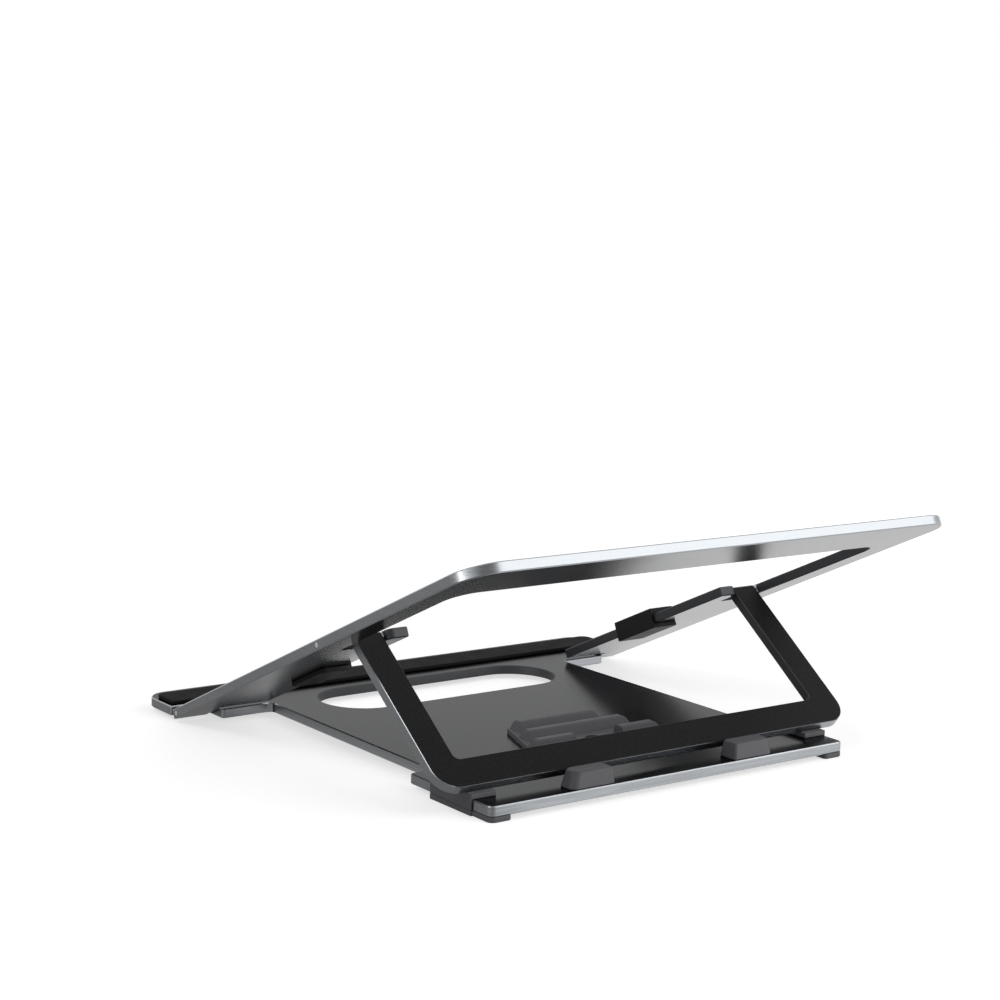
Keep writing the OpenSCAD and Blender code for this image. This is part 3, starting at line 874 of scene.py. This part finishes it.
class STAND_OT_tray_clips(bpy.types.Operator):
    """Model the U-shaped rubber clips that hug the tray's front arms"""
    bl_idname = "stand.tray_clips"
    bl_label = "Tray clips"

    def execute(self, context):
        s, at = context.scene.stand_sizes, Layout()
        half = at.thick / 2
        for side, sign in SIDES.items():
            node = f"tray_clip_{side}"
            low, high = local_box(node, ON_TRAY)
            clip = block(f"{node}_moulded", low, high)
            x0, x1 = sorted((sign * at.arm_in, sign * at.edge))
            arm = block("arm", (x0, low.y - OVER, -half), (x1, high.y + OVER, half))
            combine(clip, arm, "DIFFERENCE")
            clean(clip)
            tip = high.x if sign > 0 else low.x
            round_corners(clip, [(tip, low.y), (tip, high.y)], s.clip_radius, segments=6)
            soften(clip, s.rubber_round, segments=3)
            settle(clip, ON_TRAY, node, "tray", ("dark_silicone_rubber",))
        return {"FINISHED"}


class STAND_OT_rear_pads(bpy.types.Operator):
    """Model the thin rubber strips on the tray's rear bar"""
    bl_idname = "stand.rear_pads"
    bl_label = "Rear pads"

    def execute(self, context):
        s = context.scene.stand_sizes
        for side in SIDES:
            node = f"tray_rear_pad_{side}"
            low, high = local_box(node, ON_TRAY)
            pad = block(f"{node}_moulded", low, high)
            round_ends(pad, low, high, segments=14)
            soften_moulded(pad, s.strip_round, segments=2, seat=low.z)
            settle(pad, ON_TRAY, node, "tray", ("dark_silicone_rubber",))
        return {"FINISHED"}


# ---------------------------------------------------------------- floor, lights and camera

# Each lamp: its name, place, aim, size in metres and power in watts.
LAMPS = (
    ("rear_box", (-0.9, 1.05, 0.8), (0, 0.05, 0.05), (1.5, 1.4), 12),
    ("low_rear_strip", (-0.6, 0.85, 0.07), (0, 0.09, 0), (0.9, 0.12), 4),
    ("top_strip", (0.95, 0.0, 1.1), (0, 0.05, 0), (1.2, 0.3), 3.5),
    ("low_side_strip", (1.2, 0.1, 0.1), (0, 0.1, 0), (0.6, 0.18), 3),
)
# The floor's side in metres.
FLOOR_SIZE = 12
# The middle of the surround's zone that the metal mirrors dark, a painted dark reflection, seen from the
# stand.
DARK_REFLECTION_ZONE = Vector((0.39, 0.75, 0.55)).normalized()
# The camera's heading, how far it looks down and how far it is tilted, in degrees.
HEADING, PITCH, ROLL = 143.75, 8.79, 1.42
# The camera's place in metres, from under the front hinge's middle, and its lens in millimetres.
CAMERA_PLACE = (0.5244, 0.77825, 0.2277)
LENS, SENSOR = 78.96, 36


def seen_directly(tree, in_metal=1.0):
    """One for camera and transmission rays, in_metal for glossy rays, and zero for lighting rays."""
    path = add_node(tree, "ShaderNodeLightPath")
    mirrored = add_node(tree, "ShaderNodeMath", {
        "operation": "MULTIPLY", 0: path.outputs["Is Glossy Ray"], 1: in_metal})
    seen = path.outputs["Is Camera Ray"]
    for kind in (mirrored.outputs["Value"], path.outputs["Is Transmission Ray"]):
        seen = add_node(tree, "ShaderNodeMath", {"operation": "MAXIMUM", 0: seen, 1: kind}).outputs["Value"]
    return seen


def floor_material():
    """White studio floor: a matt sheet that shows as white and keeps a soft shadow; to the stand's right
    the metal mirrors it as a painted dark zone.
    """
    material, tree, place = new_material("white_floor")
    sheet = add_node(tree, "ShaderNodeBsdfDiffuse", {"Color": (0.65, 0.65, 0.65, 1)})
    away = add_node(tree, "ShaderNodeVectorMath", {"operation": "LENGTH", 0: place})
    # Near the stand the lamps make up the rest of the white, and their shadow shows.
    white = add_node(tree, "ShaderNodeMapRange", {
        "Value": away.outputs["Value"],
        "From Min": 0.3, "From Max": 0.75, "To Min": 0.64, "To Max": 1.0})
    level = add_node(tree, "ShaderNodeMath", {
        "operation": "MULTIPLY", 0: seen_directly(tree), 1: white.outputs["Result"]})
    glow = add_node(tree, "ShaderNodeEmission", {"Strength": level.outputs["Value"]})
    lit = add_node(tree, "ShaderNodeAddShader", {0: sheet.outputs["BSDF"], 1: glow.outputs["Emission"]})
    # Painted shade in reflections: to the stand's right the floor turns dark for glossy rays only, so the
    # metal mirrors a dark floor there while the camera sees it white.
    across = add_node(tree, "ShaderNodeSeparateXYZ", {"Vector": place})
    dark_floor_zone = add_node(tree, "ShaderNodeMapRange", {
        "Value": across.outputs["X"],
        "From Min": 0.06, "From Max": 0.09, "To Min": 0.0, "To Max": 0.65})
    path = add_node(tree, "ShaderNodeLightPath")
    in_metal = add_node(tree, "ShaderNodeMath", {
        "operation": "MULTIPLY", 0: path.outputs["Is Glossy Ray"], 1: dark_floor_zone.outputs["Result"]})
    painted_dark_floor = add_node(tree, "ShaderNodeBsdfDiffuse", {"Color": (0, 0, 0, 1)})
    seen = add_node(tree, "ShaderNodeMixShader", {
        "Fac": in_metal.outputs["Value"], 1: lit.outputs["Shader"], 2: painted_dark_floor.outputs["BSDF"]})
    add_node(tree, "ShaderNodeOutputMaterial", {"Surface": seen.outputs["Shader"]})
    return material


def soft_box(name, place, aim, size, power):
    """A rectangular area lamp that points at a spot."""
    clear_selection()
    bpy.ops.object.light_add(type="AREA", location=place)
    lamp = bpy.context.object
    lamp.name = name
    lamp.data.shape = "RECTANGLE"
    lamp.data.size, lamp.data.size_y = size
    lamp.data.energy = power
    lamp.visible_camera = False
    lamp.rotation_euler = (Vector(aim) - Vector(place)).to_track_quat("-Z", "Y").to_euler()


class STAND_OT_stage(bpy.types.Operator):
    """Set up the floor, the soft lights, the white surround and the camera"""
    bl_idname = "stand.stage"
    bl_label = "Stage"

    def execute(self, context):
        scene = context.scene
        clear_selection()
        bpy.ops.mesh.primitive_plane_add(size=FLOOR_SIZE, location=(0, 0, 0))
        floor = context.object
        floor.name = "floor"
        floor.data.materials.append(floor_material())
        self.add_surround(scene)
        for lamp in LAMPS:
            soft_box(*lamp)
        self.add_camera(scene)
        scene.view_settings.view_transform = "Standard"
        return {"FINISHED"}

    def add_surround(self, scene):
        """A white surround that lights the stand evenly and weakly, with a painted dark zone that only the
        metal mirrors.
        """
        world = scene.world or bpy.data.worlds.new("surround")
        scene.world = world
        world.use_nodes = True
        tree = world.node_tree
        tree.nodes.clear()
        # Painted dark reflection: high up behind the stand the surround is dim for glossy rays only, so the
        # rounded metal mirrors a dark zone there while the lighting stays even. The zone's rim lies between
        # two cosines of the angle from its middle.
        around = add_node(tree, "ShaderNodeTexCoord")
        towards = add_node(tree, "ShaderNodeVectorMath", {
            "operation": "DOT_PRODUCT", 0: around.outputs["Generated"], 1: DARK_REFLECTION_ZONE})
        in_metal = add_node(tree, "ShaderNodeMapRange", {
            "Value": towards.outputs["Value"],
            "From Min": 0.75, "From Max": 0.95, "To Min": 1.0, "To Max": 0.0})
        level = add_node(tree, "ShaderNodeMapRange", {
            "Value": seen_directly(tree, in_metal.outputs["Result"]), "To Min": 0.3, "To Max": 1.0})
        sky = add_node(tree, "ShaderNodeBackground", {
            "Strength": level.outputs["Result"], "Color": (1, 1, 1, 1)})
        add_node(tree, "ShaderNodeOutputWorld", {"Surface": sky.outputs["Background"]})

    def add_camera(self, scene):
        """The camera behind the stand and to its right, a little above it."""
        heading, pitch, roll = (math.radians(angle) for angle in (HEADING, PITCH, ROLL))
        data = bpy.data.cameras.new("camera")
        camera = bpy.data.objects.new("camera", data)
        scene.collection.objects.link(camera)
        data.lens = LENS
        data.sensor_width = SENSOR
        data.clip_start = 10 * MM
        forward = Vector((
            -math.sin(heading) * math.cos(pitch), math.cos(heading) * math.cos(pitch),
            -math.sin(pitch)))
        side = Vector((math.cos(heading), math.sin(heading), 0))
        up = side.cross(forward)
        right = side * math.cos(roll) + up * math.sin(roll)
        above = up * math.cos(roll) - side * math.sin(roll)
        x, y, z = CAMERA_PLACE
        camera.matrix_world = Matrix((
            (right.x, above.x, -forward.x, x),
            (right.y, above.y, -forward.y, TRAY_PIN.y + y),
            (right.z, above.z, -forward.z, BASE_LOW.z + z),
            (0, 0, 0, 1)))
        scene.camera = camera


# ---------------------------------------------------------------- panel and registration

OPERATORS = (
    STAND_OT_base_plate, STAND_OT_tray_frame, STAND_OT_prop_frame, STAND_OT_hinge_pins,
    STAND_OT_front_pad, STAND_OT_angle_rack, STAND_OT_stop_blocks, STAND_OT_corner_bumpers,
    STAND_OT_feet, STAND_OT_tray_clips, STAND_OT_rear_pads, STAND_OT_stage,
)


class STAND_PT_panel(bpy.types.Panel):
    """Buttons for each piece of the stand, with its sizes and colours"""
    bl_label = "Laptop stand"
    bl_idname = "STAND_PT_panel"
    bl_space_type = "VIEW_3D"
    bl_region_type = "UI"
    bl_category = "Stand"

    def draw(self, context):
        for operator in OPERATORS:
            self.layout.operator(operator.bl_idname)
        for group in (context.scene.stand_sizes, context.scene.stand_colours):
            column = self.layout.column()
            for name in group.__annotations__:
                column.prop(group, name)


CLASSES = (StandSizes, StandColours, *OPERATORS, STAND_PT_panel)


def register():
    for cls in CLASSES:
        bpy.utils.register_class(cls)
    bpy.types.Scene.stand_sizes = bpy.props.PointerProperty(type=StandSizes)
    bpy.types.Scene.stand_colours = bpy.props.PointerProperty(type=StandColours)


def unregister():
    del bpy.types.Scene.stand_sizes
    del bpy.types.Scene.stand_colours
    for cls in reversed(CLASSES):
        bpy.utils.unregister_class(cls)


def main():
    """Registers the add-on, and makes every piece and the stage."""
    register()
    for operator in OPERATORS:
        group, name = operator.bl_idname.split(".")
        getattr(getattr(bpy.ops, group), name)()


if __name__ == "__main__":
    main()
